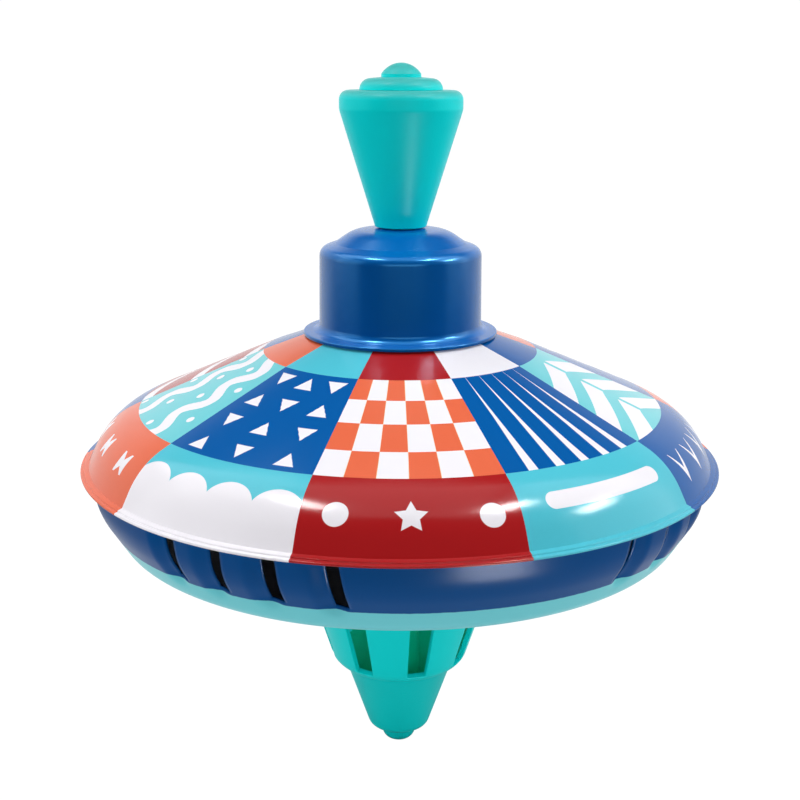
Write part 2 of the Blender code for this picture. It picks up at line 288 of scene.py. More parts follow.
class Value:
    """A number in a shader. Arithmetic on it adds Math nodes to its tree."""

    def __init__(self, tree, socket):
        self.tree = tree
        self.socket = socket

    def math(self, operation, *others, clamp=False):
        node = self.tree.nodes.new("ShaderNodeMath")
        node.operation = operation
        node.use_clamp = clamp
        for entry, value in zip(node.inputs, (self, *others)):
            feed(self.tree, value, entry)
        return Value(self.tree, node.outputs[0])

    def __add__(self, other):
        return self.math("ADD", other)

    def __sub__(self, other):
        return self.math("SUBTRACT", other)

    def __rsub__(self, other):
        return self.math("MULTIPLY_ADD", -1.0, other)

    def __mul__(self, other):
        return self.math("MULTIPLY", other)

    def __truediv__(self, other):
        return self.math("DIVIDE", other)

    def __abs__(self):
        return self.math("ABSOLUTE")

    def above(self, limit):
        return self.math("GREATER_THAN", limit)

    def ramp(self, slope):
        """The value times a slope, held between 0 and 1."""
        return self.math("MULTIPLY", slope, clamp=True)

    def repeat(self, period):
        """The value wrapped to half a period on both sides of zero."""
        return self.math("WRAP", period / 2, -period / 2)

    def ink(self):
        """1 where a signed distance in mm is below zero, with an edge as soft as a printed one."""
        softness = 0.12
        return self.math("MULTIPLY_ADD", -1.0 / softness, 0.5, clamp=True)


def feed(tree, value, entry):
    if isinstance(value, Value):
        tree.links.new(value.socket, entry)
    elif isinstance(value, bpy.types.NodeSocket):
        tree.links.new(value, entry)
    else:
        entry.default_value = value


def join(*shares):
    """The greatest of several shares."""
    total = shares[0]
    for share in shares[1:]:
        total = total.math("MAXIMUM", share)
    return total


def overlap(*shares):
    """The least of several shares."""
    total = shares[0]
    for share in shares[1:]:
        total = total.math("MINIMUM", share)
    return total


def hypot(x, y):
    return (x * x + y * y).math("SQRT")


def disc(x, y, radius):
    """Ink inside a circle round the point where x and y are zero."""
    return (hypot(x, y) - radius).ink()


class Surface:
    """A material under construction, with short calls for the nodes that it needs."""

    def __init__(self, name):
        self.material = bpy.data.materials.new(name)
        self.material.use_nodes = True
        self.tree = self.material.node_tree
        self.shader = self.tree.nodes["Principled BSDF"]

    def set(self, **inputs):
        """Sets or links inputs of the shader, named with _ for a space."""
        for name, value in inputs.items():
            feed(self.tree, value, self.shader.inputs[name.replace("_", " ")])

    def attribute(self, name):
        node = self.tree.nodes.new("ShaderNodeAttribute")
        node.attribute_name = name
        return Value(self.tree, node.outputs["Fac"])

    def place(self):
        """The object's own coordinates, in metres."""
        return self.tree.nodes.new("ShaderNodeTexCoord").outputs["Object"]

    def parts(self):
        """X, Y and Z of the object's own coordinates."""
        split = self.tree.nodes.new("ShaderNodeSeparateXYZ")
        self.tree.links.new(self.place(), split.inputs[0])
        return [Value(self.tree, socket) for socket in split.outputs]

    def facing_up(self):
        """The height of the surface normal, 1 on a face that looks straight up."""
        split = self.tree.nodes.new("ShaderNodeSeparateXYZ")
        geometry = self.tree.nodes.new("ShaderNodeNewGeometry")
        self.tree.links.new(geometry.outputs["Normal"], split.inputs[0])
        return Value(self.tree, split.outputs["Z"])

    def stretched(self, scale):
        """The object's own coordinates times a scale for each axis."""
        mapping = self.tree.nodes.new("ShaderNodeMapping")
        mapping.inputs["Scale"].default_value = scale
        self.tree.links.new(self.place(), mapping.inputs["Vector"])
        return mapping.outputs[0]

    def noise(self, scale, detail=2.0, vector=None):
        """Noise between 0 and 1, with a scale per metre."""
        node = self.tree.nodes.new("ShaderNodeTexNoise")
        node.inputs["Scale"].default_value = scale
        node.inputs["Detail"].default_value = detail
        self.tree.links.new(vector or self.place(), node.inputs["Vector"])
        return Value(self.tree, node.outputs["Fac"])

    def mix(self, share, first, second):
        """A colour between the first and the second, by share."""
        node = self.tree.nodes.new("ShaderNodeMix")
        node.data_type = "RGBA"
        feed(self.tree, share, node.inputs["Factor"])
        for socket, colour in (("A", first), ("B", second)):
            entry = [i for i in node.inputs if i.name == socket and i.type == "RGBA"][0]
            feed(self.tree, (*colour, 1.0) if isinstance(colour, tuple) else colour, entry)
        return [o for o in node.outputs if o.type == "RGBA"][0]

    def bump(self, height, distance):
        """A surface normal for a height between 0 and 1 that stands for a distance in metres."""
        node = self.tree.nodes.new("ShaderNodeBump")
        node.inputs["Distance"].default_value = distance
        feed(self.tree, height, node.inputs["Height"])
        return node.outputs[0]


# --- Printed panels ---

class Panel:
    """Where a point lies on its panel: across in degrees or mm, along in mm down the slope."""

    def __init__(self, surface):
        self.angle = surface.attribute("panel_angle")
        self.radius = surface.attribute("panel_radius")
        self.along = surface.attribute("panel_along")

    def in_mm(self, degrees):
        """The length round the shell of an angle at this radius."""
        return degrees * self.radius * math.radians(1.0)

    def across(self, centre=0.0):
        """Distance in mm from the line at an angle from the panel's middle."""
        return self.in_mm(self.angle - centre)

    def within(self, half_width):
        """1 up to half_width degrees from the panel's middle."""
        return (half_width - abs(self.angle)).above(0.0)


def chequers(panel):
    """Six columns of squares in four rows."""
    second, third, fourth = 21.9, 31.85, 42.9
    first_side = SECTOR_ANGLE / 2 + CHEQUER_SHIFT
    column = ((panel.angle + first_side) / CHEQUER_WIDTH).math("FLOOR").math("MINIMUM", 5.0)
    row = panel.along.above(second) + panel.along.above(third) + panel.along.above(fourth)
    return (column + row).math("MODULO", 2.0)


def chequer_overprint(panel):
    """Thin lines down the panel where the inks of two squares overlap."""
    half_width = 0.1
    side = panel.in_mm(abs((panel.angle + CHEQUER_SHIFT).repeat(CHEQUER_WIDTH)))
    return overlap((side - half_width).ink(), panel.within(15.0))


def triangles(panel):
    """Rows of triangles that point up and down by turns."""
    pitch, row_pitch, row_middle, height, half_width = 11.3, 10.25, 4.9, 5.1, 2.9
    column = (panel.angle / pitch).math("ROUND")
    row = ((panel.along - BAND_TOP) / row_pitch).math("FLOOR")
    x = abs(panel.in_mm(panel.angle - column * pitch))
    y = panel.along - BAND_TOP - row * row_pitch - row_middle
    flip = 1.0 - abs((row + column).math("MODULO", 2.0)) * 2.0
    side = x - (y * flip + height / 2) * (half_width / height)
    base = y * flip - height / 2
    return overlap(join(side, base).ink(), (BAND_BOTTOM - panel.along).above(0.0))


def rays(panel):
    """Five rays that widen down the panel."""
    pitch, first, tip, spread = 6.13, 12.1, 13.3, 0.0255
    side = abs((panel.angle + first - 2 * pitch).repeat(pitch))
    half_width = (panel.along - tip) * spread + 0.03
    return overlap(panel.in_mm(side - half_width).ink(), panel.within(15.3))


def wave(panel, centre):
    """A wavy line down the panel with an even width."""
    crest, period, sway, half_width = 19.0, 16.0, 2.45, 2.2
    phase = (panel.along - crest) * (math.tau / period)
    slope = phase.math("SINE") * (sway * math.tau / period)
    spread = (slope * slope + 1.0).math("SQRT") * half_width
    return (abs(panel.across(centre) - phase.math("COSINE") * sway) - spread).ink()


def dots(panel, centre, first, period=16.0, radius=1.25):
    """A column of dots down the panel."""
    return disc(panel.across(centre), (panel.along - first).repeat(period), radius)


def waves_and_dots(panel):
    """Two waves, with a column of dots on each side of both."""
    lines = join(wave(panel, 7.2), wave(panel, -9.6))
    inner = join(lines, dots(panel, 2.4, 19.3), dots(panel, 13.2, 27.3))
    return join(inner, dots(panel, -5.0, 27.3), dots(panel, -15.9, 19.6))


def chevrons(panel):
    """Three arrows that point at the neck, split along the middle."""
    first, pitch, half_width, half_split = 15.9, 11.9, 3.5, 1.0
    centre, slant, blunt, margin = 0.4, 0.62, 2.0, 0.5
    x = abs(panel.across(centre))
    drop = (x * x + blunt * blunt).math("SQRT") * slant - blunt * slant
    depth = panel.along - drop - first
    bands = abs((depth - half_width).repeat(pitch)) - half_width
    arrows = overlap(bands.ink(), depth.above(-margin), (3 * pitch - depth).above(margin))
    return overlap(arrows, (half_split - x).ink())


def stripes(along, first, pitch, half_width):
    """Stripes of even width across a distance that may already be bent."""
    return (abs((along - first).repeat(pitch)) - half_width).ink()


def slanted_waves(panel):
    x = panel.across()
    sway = (x / 9.0).math("SINE") * 1.8
    return stripes(panel.along - x * 0.3 - sway, first=27.5, pitch=16.2, half_width=2.1)


def rings(panel):
    """One column of rings down the panel."""
    centre, first, period, radius, half_width = 3.0, 33.2, 13.3, 4.6, 1.3
    x = panel.across(centre)
    y = (panel.along - first).repeat(period)
    return (abs(hypot(x, y) - radius) - half_width).ink()


def hoops(panel):
    return stripes(panel.along, first=17.5, pitch=8.9, half_width=1.9)


def zigzags(panel):
    x = panel.in_mm(abs(panel.angle.repeat(9.0)))
    return stripes(panel.along - x * 1.1, first=18.0, pitch=10.6, half_width=2.1)


def spots(panel):
    """Three columns of large dots, the middle one half a period further down."""
    period, radius = 13.6, 2.4
    columns = [dots(panel, centre, first, period, radius)
               for centre, first in ((-10.0, 18.5), (0.0, 25.3), (10.0, 18.5))]
    return join(*columns)


def star_and_discs(panel):
    """A plain five-pointed star between two discs."""
    along, points, outer, valley = 64.8, 5, 4.3, 0.5
    disc_radius = 3.25
    x = panel.across()
    y = along - panel.along
    turn = x.math("ARCTAN2", y).repeat(math.tau / points)
    reach = hypot(x, y)
    # Each half point is a straight edge from its tip to the valley beside it
    corner = math.pi / points
    edge_x = outer - valley * outer * math.cos(corner)
    edge_y = valley * outer * math.sin(corner)
    length = math.hypot(edge_x, edge_y)
    side = abs(turn.math("SINE") * reach) * (edge_x / length)
    star = ((turn.math("COSINE") * reach - outer) * (edge_y / length) + side).ink()
    left = disc(panel.across(-12.1), panel.along - 64.6, disc_radius)
    right = disc(panel.across(13.1), panel.along - 65.2, disc_radius)
    return join(star, left, right)


def rounded_bar(panel):
    """A bar across the panel with round ends."""
    centre, half_angle, along, radius, inset = 0.3, 13.4, 63.3, 2.45, 2.4
    beyond = panel.in_mm(abs(panel.angle - centre) - half_angle) + inset
    y = panel.along - along
    return disc(beyond.math("MAXIMUM", 0.0), y, radius)


def ticks(panel):
    """Tapered V marks side by side."""
    pitch, first, top, point, notch = 7.9, 12.4, 61.1, 71.0, 66.6
    half_width, end_width, blunt, curve = 3.7, 0.25, 0.15, 1.1
    x = panel.in_mm(abs((panel.angle + first).repeat(pitch)))
    outer = ((point - panel.along) / (point - top)).math("MAXIMUM", 0.0).math("POWER", curve)
    inner = ((notch - panel.along) / (notch - top)).math("MAXIMUM", 0.0).math("POWER", curve)
    band = overlap((x - outer * half_width).ink(), (inner * (half_width - end_width) - x).ink(),
                   (panel.along - top).above(0.0), (point - blunt - panel.along).above(0.0))
    return overlap(band, panel.within(16.6))


def darts(panel):
    """Nearly square marks with a notch above and a notch below."""
    pitch, first, half_width, hollow = 12.3, 1.8, 2.8, 0.02
    top, upper_notch, lower_notch, bottom, notch_half = 61.6, 63.9, 65.9, 68.0, 2.1
    x = panel.in_mm(abs((panel.angle + first).repeat(pitch)))
    swing = panel.along - (top + bottom) / 2
    side = swing * swing * hollow + half_width
    upper = (upper_notch - panel.along) * (notch_half / (upper_notch - top))
    lower = (panel.along - lower_notch) * (notch_half / (bottom - lower_notch))
    outline = overlap((x - side).ink(), (upper - x).ink(), (lower - x).ink())
    ends = overlap((panel.along - top).above(0.0), (bottom - panel.along).above(0.0))
    return overlap(outline, ends, panel.within(SECTOR_ANGLE / 2))


def clouds(panel):
    """Four round tops over a solid foot."""
    pitch, first, radius, top = 9.25, 4.6, 7.8, 59.2
    x = panel.in_mm((panel.angle + first).repeat(pitch))
    y = panel.along - top - radius
    return join(disc(x, y, radius), y.above(0.0))


def darkened(colour, share):
    return tuple(channel * share for channel in colour)


def printed(name, ink, motif=None):
    """Lacquered ink on tin, with a white motif, a fine grain and a slightly uneven gloss."""
    surface = Surface(name)
    grain = surface.noise(PRINT_GRAIN)
    colour = surface.mix(grain * 0.16, ink, darkened(ink, 0.72))
    if motif is not None:
        colour = surface.mix(motif(Panel(surface)), colour, WHITE)
    if motif is chequers:
        colour = surface.mix(chequer_overprint(Panel(surface)) * 0.45, colour, OVERPRINT)
    ripple = surface.noise(95.0)
    surface.set(Base_Color=colour, Roughness=surface.noise(60.0) * 0.06 + 0.12,
                Specular_IOR_Level=0.20,
                Normal=surface.bump(ripple * 0.75 + grain * 0.25, 0.00005))
    return surface.material


INNER_INKS = (("red", RED), ("white", WHITE), ("blue", BLUE), ("coral", CORAL), ("aqua", AQUA))
PANELS = (
    ("chequers", CORAL, chequers), ("rays", BLUE, rays), ("chevrons", PALE_AQUA, chevrons),
    ("rings", BLUE, rings), ("hoops", RED, hoops), ("zigzags", PALE_AQUA, zigzags),
    ("spots", BLUE, spots), ("slanted_waves", RED, slanted_waves),
    ("waves", PALE_AQUA, waves_and_dots), ("triangles", BLUE, triangles),
)
OUTER_PANELS = (
    ("star", RED, star_and_discs), ("bar", AQUA, rounded_bar), ("ticks", BLUE, ticks),
    ("darts", CORAL, darts), ("clouds", AQUA, clouds),
)


def print_materials():
    """Materials in slot order: five inner, ten middle, five outer, bare tin."""
    inner = [printed("inner_" + name, ink) for name, ink in INNER_INKS]
    middle = [printed("panel_" + name, ink, motif) for name, ink, motif in PANELS]
    outer = [printed("rim_" + name, ink, motif) for name, ink, motif in OUTER_PANELS]
    return inner + middle + outer + [bare_tin()]


def print_slot(sector, radius):
    """The material slot of a sector at a radius, in the order of print_materials."""
    inner, middle, outer = len(INNER_INKS), len(PANELS), len(OUTER_PANELS)
    if radius < INNER_BAND_RADIUS:
        return sector % inner
    if radius < OUTER_BAND_RADIUS:
        return inner + sector % middle
    return inner + middle + sector % outer


# --- Plain materials ---

def bare_tin():
    surface = Surface("bare_tin")
    streak = surface.noise(240.0, 3.0)
    surface.set(Base_Color=surface.mix(streak, (0.30, 0.31, 0.34), (0.46, 0.47, 0.50)),
                Metallic=1.0, Roughness=streak * 0.2 + 0.32)
    return surface.material


def moulded_plastic(name, colour, top=None, roughness=0.36):
    """Satin plastic with a fine moulded texture, flow marks and, if top is given, painted shading
    on upward faces.
    """
    surface = Surface(name)
    flow = surface.noise(28.0, 3.0)
    grain = surface.noise(1500.0)
    tone = surface.mix(flow, darkened(colour, 0.90), colour)
    if top is not None:
        # Painted shading: faces that look up take the top colour in place of the plastic's own
        up = (surface.facing_up() - 0.15).ramp(1.5)
        tone = surface.mix(up, tone, top)
    surface.set(Base_Color=tone, Roughness=grain * 0.10 + flow * 0.06 + roughness - 0.08,
                Specular_IOR_Level=0.08, Normal=surface.bump(grain, 0.00003))
    return surface.material


def sprayed_paint(name, colour, top):
    """Glossy sprayed paint with a trace of orange peel, and a painted highlight: a brighter blue
    on faces that look up.
    """
    surface = Surface(name)
    peel = surface.noise(420.0)
    patch = surface.noise(35.0)
    tone = surface.mix(patch, darkened(colour, 0.88), colour)
    # Painted highlight: faces that look up take the brighter top colour
    tone = surface.mix((surface.facing_up() - 0.1).ramp(1.5), tone, top)
    surface.set(Base_Color=tone, Roughness=peel * 0.08 + 0.18, Specular_IOR_Level=1.0,
                Specular_Tint=(0.12, 0.56, 1.0, 1.0),
                Normal=surface.bump(peel, 0.00002))
    return surface.material


def lower_print():
    """Blue wall over a light teal bowl, with a slightly uneven edge between the two inks."""
    surface = Surface("lower_print")
    ragged_height, edge_height = 0.0003, 0.0001
    z = surface.parts()[2]
    grain = surface.noise(PRINT_GRAIN)
    ragged = (surface.noise(500.0) - 0.5) * ragged_height
    height = z + ragged - PAINT_EDGE_Z * MM
    blue = surface.mix(grain * 0.3, NAVY, darkened(NAVY, 0.7))
    aqua = surface.mix(grain * 0.3, PALE_AQUA, (0.20, 0.74, 0.81))
    colour = surface.mix((height / edge_height).math("ADD", 0.5, clamp=True), aqua, blue)
    surface.set(Base_Color=colour, Roughness=surface.noise(60.0) * 0.02 + 0.27,
                IOR=1.2, Specular_IOR_Level=0.4, Normal=surface.bump(grain, 0.00001))
    return surface.material


def metal(name, colour, roughness):
    """Turned or drawn metal with fine lines round the axis."""
    surface = Surface(name)
    lines = surface.noise(60.0, 3.0, surface.stretched((1.0, 1.0, 90.0)))
    tarnish = surface.noise(180.0, 3.0)
    surface.set(Base_Color=surface.mix(tarnish, darkened(colour, 0.7), colour), Metallic=1.0,
                Roughness=lines * 0.15 + roughness - 0.05,
                Normal=surface.bump(lines, 0.00002))
    return surface.material


def felt():
    surface = Surface("felt")
    fibre = surface.noise(900.0, 4.0)
    surface.set(Base_Color=surface.mix(fibre, (0.16, 0.14, 0.12), (0.42, 0.39, 0.35)),
                Roughness=0.95, Sheen_Weight=0.5, Normal=surface.bump(fibre, 0.0003))
    return surface.material


# --- Pieces ---

def dome_outline():
    """Upper shell from under the neck, down the cone and the knee, to the groove at the hem."""
    return rounded([
        (NECK_HOLE_RADIUS, PLATEAU_Z), (27.6, PLATEAU_Z, 2.0), (INNER_BAND_RADIUS, RIM_Z + 32.05),
        (OUTER_BAND_RADIUS, RIM_Z + 16.14), (87.0, RIM_Z + 11.7, 22.5),
        (92.45, RIM_Z + 1.42), (92.6, RIM_Z + 1.12),
    ], step=3.0)


def hem_outline():
    """The rolled hem: a sloping ledge, a fine step, a round lip and a lower edge."""
    top = RIM_Z + 1.0
    return rounded([
        (92.65, top + 0.02), (92.8, top), (93.9, top - 0.35, 0.15), (94.05, top - 0.75),
        (RIM_RADIUS, top - 0.9, 0.5), (RIM_RADIUS, RIM_Z - 0.6, 0.5), (92.9, RIM_Z - 0.8),
    ])


def hem_fold():
    """The inside of the hem, open towards the lower shell's upper edge."""
    return [(92.9, RIM_Z - 0.5), (94.3, RIM_Z - 0.4), (94.5, RIM_Z - 0.2), (94.0, RIM_Z - 0.1),
            (92.2, RIM_Z + 0.1)]


def slope_distances(outline):
    """Distance down the slope at each point of the outline, BAND_TOP at the inner band circle."""
    distances = [0.0]
    for first, second in zip(outline, outline[1:]):
        distances.append(distances[-1] + math.dist(first, second))
    band_row = next(i for i, point in enumerate(outline) if point[0] >= INNER_BAND_RADIUS)
    return [distance - distances[band_row] + BAND_TOP for distance in distances]


def store_panel_place(bm, outline):
    """Writes each corner's place on its panel for the shader, and picks the faces' materials."""
    along_layer = bm.verts.layers.float.new("panel_along")
    radius_layer = bm.verts.layers.float.new("panel_radius")
    angle_layer = bm.loops.layers.float.new("panel_angle")
    along = slope_distances(outline)
    for index, vert in enumerate(bm.verts):
        row = index // PRINT_COLUMNS
        vert[along_layer] = along[row]
        vert[radius_layer] = outline[row][0]
    for face in bm.faces:
        middle = face.calc_center_median()
        sector = round((degrees_of(middle) - PRINT_TURN) / SECTOR_ANGLE)
        centre = PRINT_TURN + sector * SECTOR_ANGLE
        face.material_index = print_slot(sector, middle.xy.length / MM)
        for corner in face.loops:
            corner[angle_layer] = wrapped(degrees_of(corner.vert.co) - centre)


def upper_shell():
    outside = dome_outline() + hem_outline()
    # Inside, the hem's fold takes the place of the dome's two lowest points
    inside = hem_fold() + shifted_inward(dome_outline(), SHEET)[1:-2][::-1]
    outline = outside + inside + [(NECK_HOLE_RADIUS, PLATEAU_Z - SHEET)]
    bm, _ = revolve(outline, PRINT_COLUMNS, PRINT_TURN, loop=True)
    store_panel_place(bm, outline)
    materials = print_materials()
    printed_rows = len(outside) - 1
    for row, face in enumerate(bm.faces):
        if row // PRINT_COLUMNS >= printed_rows:
            face.material_index = len(materials) - 1
    piece = finished_piece("upper_shell_print", bm, materials)
    stand_in(piece, "upper_shell", "top_body")


def smooth(share):
    share = min(max(share, 0.0), 1.0)
    return share * share * (3.0 - 2.0 * share)


def from_louvre_centre(degrees):
    """Signed degrees from the nearer centre of the mirrored louvre groups."""
    turns = [wrapped(degrees - centre) for centre in LOUVRE_CENTRES]
    return min(turns, key=abs)


def lean(degrees, z):
    """Degrees by which the wall's columns lean towards the group centre on their way down."""
    fade_in, fade_out, less_per_degree = 20.0, 25.0, 0.06
    turn = from_louvre_centre(degrees)
    # The lean fades out towards the middle of a pair and towards the other pair
    weight = min(abs(turn) / fade_in, (90.0 - abs(turn)) / fade_out, 1.0)
    tilt = LOUVRE_LEAN - less_per_degree * (abs(turn) - LOUVRES[0][0])
    share = (z - LOUVRE_BOTTOM) / (LOUVRE_TOP - LOUVRE_BOTTOM) - 0.5
    return math.copysign(tilt * weight, turn) * min(max(share, -0.5), 0.5)


def press_depth(degrees, z):
    """How far the sheet is pressed in beside the slots and just below them."""
    side = abs(from_louvre_centre(degrees))
    across = 0.0
    for near, far in LOUVRES:
        rise = (side - near) / (far - near)
        across = max(across, min(rise, 1.0 + (far - side) / LOUVRE_RAMP))
    top_share = (LOUVRE_TOP + LOUVRE_FADE_ABOVE / 2 - z) / LOUVRE_FADE_ABOVE
    bottom_share = (z - LOUVRE_BOTTOM + LOUVRE_FADE_BELOW) / LOUVRE_FADE_BELOW
    return LOUVRE_DEPTH * smooth(across) * smooth(top_share) * smooth(bottom_share)


def in_slot(degrees, z):
    if not LOUVRE_BOTTOM < z < LOUVRE_TOP:
        return False
    side = abs(from_louvre_centre(degrees))
    return any(near < side < far for near, far in LOUVRES)


def bowl_outline():
    """Lower shell from inside the hem, down the louvred wall and the heel, to the hub.

    Down to fine_bottom its rows are about 1 mm apart, for the louvres.
    """
    fine_bottom = RIM_Z - 18.0
    wall = rounded([(92.0, RIM_Z - 0.25), (91.0, RIM_Z - 9.1, 16.0), (82.85, RIM_Z - 22.15, 8.5),
                    (26.0, RIM_Z - 40.0)], step=3.0)
    rows = [wall[0]]
    for first, second in zip(wall, wall[1:]):
        steps = max(1, round(math.dist(first, second))) if first[1] > fine_bottom else 1
        for i in range(1, steps + 1):
            rows.append(tuple(Vector(first).lerp(Vector(second), i / steps)))
    return rows + [(14.0, HUB_Z), (7.3, HUB_Z)]


def snap_rows(outline, heights):
    """The outline with its nearest points moved along it to the given heights."""
    snapped = list(outline)
    for z in heights:
        index = min(range(len(snapped)), key=lambda i: abs(snapped[i][1] - z))
        first, second = snapped[index], snapped[index + 1]
        if (first[1] - z) * (first[1] - second[1]) < 0:
            second = snapped[index - 1]
        share = (z - first[1]) / (second[1] - first[1])
        snapped[index] = (first[0] + (second[0] - first[0]) * share, z)
    return snapped


def lower_shell():
    outline = snap_rows(bowl_outline(), (LOUVRE_TOP, LOUVRE_BOTTOM, PAINT_EDGE_Z))
    start = LOUVRE_CENTRES[0]

    def skip(row, column):
        degrees = start + (column + 0.5) * 360.0 / WALL_COLUMNS
        return in_slot(degrees, (outline[row][1] + outline[row + 1][1]) / 2)

    bm, rings = revolve(outline, WALL_COLUMNS, start, skip=skip)
    for ring, (radius, z) in zip(rings, outline):
        for i, vert in enumerate(ring):
            degrees = start + i * 360.0 / WALL_COLUMNS
            depth = press_depth(degrees, z)
            vert.co = spot(radius - depth, degrees + lean(degrees, z), z)
    drop_loose(bm)
    piece = finished_piece("lower_shell_print", bm, [lower_print(), bare_tin()], sharp=40.0)
    sheet = piece.modifiers.new("Sheet", "SOLIDIFY")
    sheet.thickness = SHEET * MM
    sheet.offset = -1.0
    sheet.use_even_offset = True
    sheet.material_offset = 1
    stand_in(piece, "lower_shell", "top_body")


def neck_housing(paint):
    """The drum from its hole, down the dome, a step and the wall, to the flange."""
    bore, edge_points = 5.6, 7
    outside = rounded([
        (bore, NECK_TOP), (14.0, NECK_TOP - 0.75, 10.0), (19.3, NECK_TOP - 4.4, 0.3),
        (23.8, NECK_TOP - 6.0, 3.0), (24.05, NECK_BOTTOM + 1.15, 2.4),
        (NECK_FLANGE_RADIUS, NECK_BOTTOM + 0.9, 0.35), (NECK_FLANGE_RADIUS, NECK_BOTTOM),
    ], step=5.0)
    # The lower part of the flange's edge has no inside
    inside = shifted_inward(outside, SHEET)[1:-edge_points][::-1]
    outline = outside + [(23.9, NECK_BOTTOM)] + inside + [(bore, NECK_TOP - SHEET)]
    bm, _ = revolve(outline, TURNED_COLUMNS, loop=True)
    piece = finished_piece("neck_drum", bm, [paint], sharp=35.0)
    stand_in(piece, "neck_housing", "top_body")


def rod_guide(nylon):
    top = top_of("rod_guide")
    bottom = bottom_of("rod_guide")
    radius = radius_of("rod_guide")
    bore, barrel = 3.6, 5.3
    outline = rounded([
        (bore, top - 0.3), (bore + 0.3, top), (barrel, top, 0.4), (barrel, top - 1.6),
        (radius, top - 2.0, 0.2), (radius, top - 3.2, 0.2), (barrel, top - 3.6),
        (barrel, bottom, 0.4), (bore, bottom),
    ])
    bm, _ = revolve(outline, GUIDE_COLUMNS, loop=True)
    piece = finished_piece("rod_guide_moulding", bm, [nylon])
    stand_in(piece, "rod_guide", "top_body")


def handle_grip(plastic):
    shoulder_z = GRIP_TOP - 5.4
    socket, bore, bore_top = 8.3, 3.2, GRIP_TOP - 16.4
    outline = rounded([
        (socket, GRIP_TOP), (GRIP_RADIUS, GRIP_TOP, 2.9), (GRIP_RADIUS, shoulder_z, 4.0),
        (7.5, GRIP_BOTTOM, 0.5), (bore, GRIP_BOTTOM, 0.3), (bore, bore_top), (5.0, bore_top),
        (socket, GRIP_TOP - 8.4),
    ], step=5.0)
    bm, _ = revolve(outline, TURNED_COLUMNS, loop=True)
    piece = finished_piece("grip_moulding", bm, [plastic], sharp=40.0)
    stand_in(piece, "handle_grip", "handle")


def handle_cap(plastic):
    """A round button on a disc, with a hollow plug that sits in the grip."""
    button_radius, button_z = 5.7, CAP_TOP - 3.1
    disc_top = CAP_TOP - 4.0
    disc_bottom = GRIP_TOP + 0.05
    plug_radius, plug_bore, plug_bottom = 8.0, 6.4, bottom_of("handle_cap")
    button = cap_arc(button_radius, button_z, CAP_TOP)
    plate = rounded([(button_radius, button_z), (button_radius + 0.05, disc_top),
                     (CAP_RADIUS, disc_top - 0.6, 3.4), (CAP_RADIUS, disc_bottom),
                     (plug_radius, disc_bottom)], step=6.0)
    plug = [(plug_radius, plug_bottom), (plug_bore, plug_bottom), (plug_bore, CAP_TOP - 10.0),
            (0.0, CAP_TOP - 8.5)]
    bm, _ = revolve(button + plate[1:] + plug, CAP_COLUMNS)
    piece = finished_piece("cap_moulding", bm, [plastic], sharp=24.0)
    stand_in(piece, "handle_cap", "handle")


def foot_outline():
    """Outside of the foot: skirt, rounded lower edge, crease, pointed nose and nub."""
    return rounded([
        (FOOT_RADIUS, FOOT_TOP), (20.75, 29.6, 6.0), (16.6, NOSE_TOP), (9.3, 5.9, 3.2), (5.5, 4.2),
        (4.6, 0.0, 3.4), (0.0, 0.0),
    ], step=6.0)


def paint_foot_inside(bm):
    """Puts the second material, a greener teal as painted shade, on the faces that look at the
    axis and on the boss.
    """
    looking_in, boss_radius, boss_bottom = -5.0 * MM, 10.0 * MM, (FOOT_FLOOR - 0.1) * MM
    for face in bm.faces:
        middle = face.calc_center_median()
        looks_in = middle.xy.dot(face.normal.xy) < looking_in
        on_boss = middle.xy.length < boss_radius and middle.z > boss_bottom
        face.material_index = 1 if looks_in or on_boss else 0


